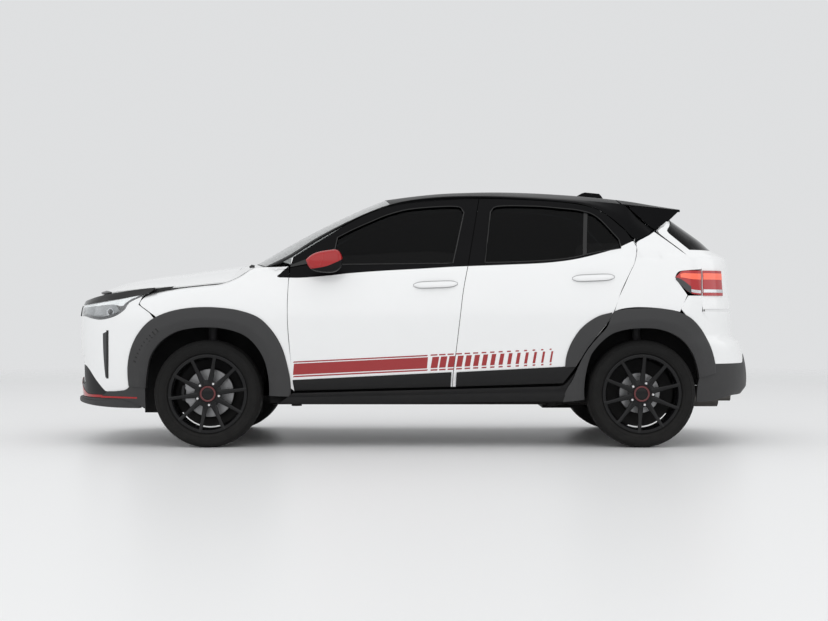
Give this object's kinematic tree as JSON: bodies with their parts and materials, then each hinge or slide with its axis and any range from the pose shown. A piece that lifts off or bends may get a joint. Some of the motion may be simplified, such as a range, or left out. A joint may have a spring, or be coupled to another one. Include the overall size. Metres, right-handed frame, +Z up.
{
  "type": "compact crossover car",
  "caption": "Compact crossover car with hinged doors, bonnet and tailgate, steered front wheels, rolling wheels and a hollow cabin with seats.",
  "frame": {"origin": "middle of the length and width on the ground", "axes": "+X to the rear, +Y to the right of the car, +Z up"},
  "size_m": [4.1158, 1.911, 1.5281],
  "materials": {
    "paint": "gloss",
    "chassis": "satin",
    "cast": "matte",
    "pipe": "brushed",
    "black_gloss": "gloss",
    "glass": "gloss",
    "cladding": "textured",
    "lamp_clear": "gloss",
    "lamp_red": "gloss",
    "trim": "matte",
    "cloth": "woven",
    "red_gloss": "gloss",
    "rim": "gloss black",
    "tyre": "matte"
  },
  "bodies": {
    "body": {"underbody": "chassis", "roof": "black_gloss", "roof_sides": "black_gloss", "quarter_panels": "paint", "wings": "paint", "windscreen": "glass", "cowl": "cladding", "front_bumper": "paint", "grille": "cladding", "headlamps": "lamp_clear", "front_lip": "cladding", "rear_bumper": "paint", "rear_valance": "cladding", "tail_lamps": "lamp_red", "arch_cladding": "cladding", "sill_skirts": "cladding", "engine": "cast", "front_suspension": "chassis", "rear_axle": "chassis", "exhaust": "pipe", "fuel_tank": "chassis", "dashboard": "trim", "front_seats": "cloth", "rear_seat": "cloth"},
    "front_door_left": {"front_door_left": "paint", "front_glass_left": "glass", "front_door_clad_left": "cladding", "mirror_left": "red_gloss"},
    "rear_door_left": {"rear_door_left": "paint", "rear_glass_left": "glass", "rear_door_clad_left": "cladding"},
    "knuckle_left": {"knuckle_left": "chassis"},
    "front_wheel_left": {"rim_front_left": "rim", "tyre_front_left": "tyre"},
    "rear_wheel_left": {"rim_rear_left": "rim", "tyre_rear_left": "tyre"},
    "front_door_right": {"front_door_right": "paint", "front_glass_right": "glass", "front_door_clad_right": "cladding", "mirror_right": "red_gloss"},
    "rear_door_right": {"rear_door_right": "paint", "rear_glass_right": "glass", "rear_door_clad_right": "cladding"},
    "knuckle_right": {"knuckle_right": "chassis"},
    "front_wheel_right": {"rim_front_right": "rim", "tyre_front_right": "tyre"},
    "rear_wheel_right": {"rim_rear_right": "rim", "tyre_rear_right": "tyre"},
    "bonnet": {"bonnet": "paint"},
    "tailgate": {"tailgate": "paint", "tailgate_glass": "glass", "gate_lamps": "lamp_red", "spoiler": "black_gloss"}
  },
  "joints": [
    {"name": "front_door_left_hinge", "type": "hinge", "parent": "body", "child": "front_door_left", "pos_m": [-0.72712, -0.86336, 0.75], "axis": [0, 0, -1], "range_deg": [0, 62]},
    {"name": "rear_door_left_hinge", "type": "hinge", "parent": "body", "child": "rear_door_left", "pos_m": [0.23507, -0.86442, 0.75], "axis": [0, 0, -1], "range_deg": [0, 62]},
    {"name": "front_door_right_hinge", "type": "hinge", "parent": "body", "child": "front_door_right", "pos_m": [-0.72712, 0.86336, 0.75], "axis": [0, 0, 1], "range_deg": [0, 62]},
    {"name": "rear_door_right_hinge", "type": "hinge", "parent": "body", "child": "rear_door_right", "pos_m": [0.23507, 0.86442, 0.75], "axis": [0, 0, 1], "range_deg": [0, 62]},
    {"name": "bonnet_hinge", "type": "hinge", "parent": "body", "child": "bonnet", "pos_m": [-1.03284, 0, 1.07985], "axis": [0, 1, 0], "range_deg": [0, 50]},
    {"name": "tailgate_hinge", "type": "hinge", "parent": "body", "child": "tailgate", "pos_m": [1.2467, 0, 1.48676], "axis": [0, -1, 0], "range_deg": [0, 78]},
    {"name": "steer_left", "type": "hinge", "parent": "body", "child": "knuckle_left", "pos_m": [-1.1925, -0.755, 0.313], "axis": [0, 0, 1], "range_deg": [-33, 33]},
    {"name": "steer_right", "type": "hinge", "parent": "body", "child": "knuckle_right", "pos_m": [-1.1925, 0.755, 0.313], "axis": [0, 0, 1], "range_deg": [-33, 33]},
    {"name": "front_wheel_left_spin", "type": "hinge", "parent": "knuckle_left", "child": "front_wheel_left", "pos_m": [-1.1925, -0.755, 0.313], "axis": [0, 1, 0], "continuous": true},
    {"name": "rear_wheel_left_spin", "type": "hinge", "parent": "body", "child": "rear_wheel_left", "pos_m": [1.3395, -0.755, 0.313], "axis": [0, 1, 0], "continuous": true},
    {"name": "front_wheel_right_spin", "type": "hinge", "parent": "knuckle_right", "child": "front_wheel_right", "pos_m": [-1.1925, 0.755, 0.313], "axis": [0, 1, 0], "continuous": true},
    {"name": "rear_wheel_right_spin", "type": "hinge", "parent": "body", "child": "rear_wheel_right", "pos_m": [1.3395, 0.755, 0.313], "axis": [0, 1, 0], "continuous": true}
  ],
  "couplings": [
    {"joint": "steer_right", "follows": "steer_left", "ratio": 1}
  ]
}
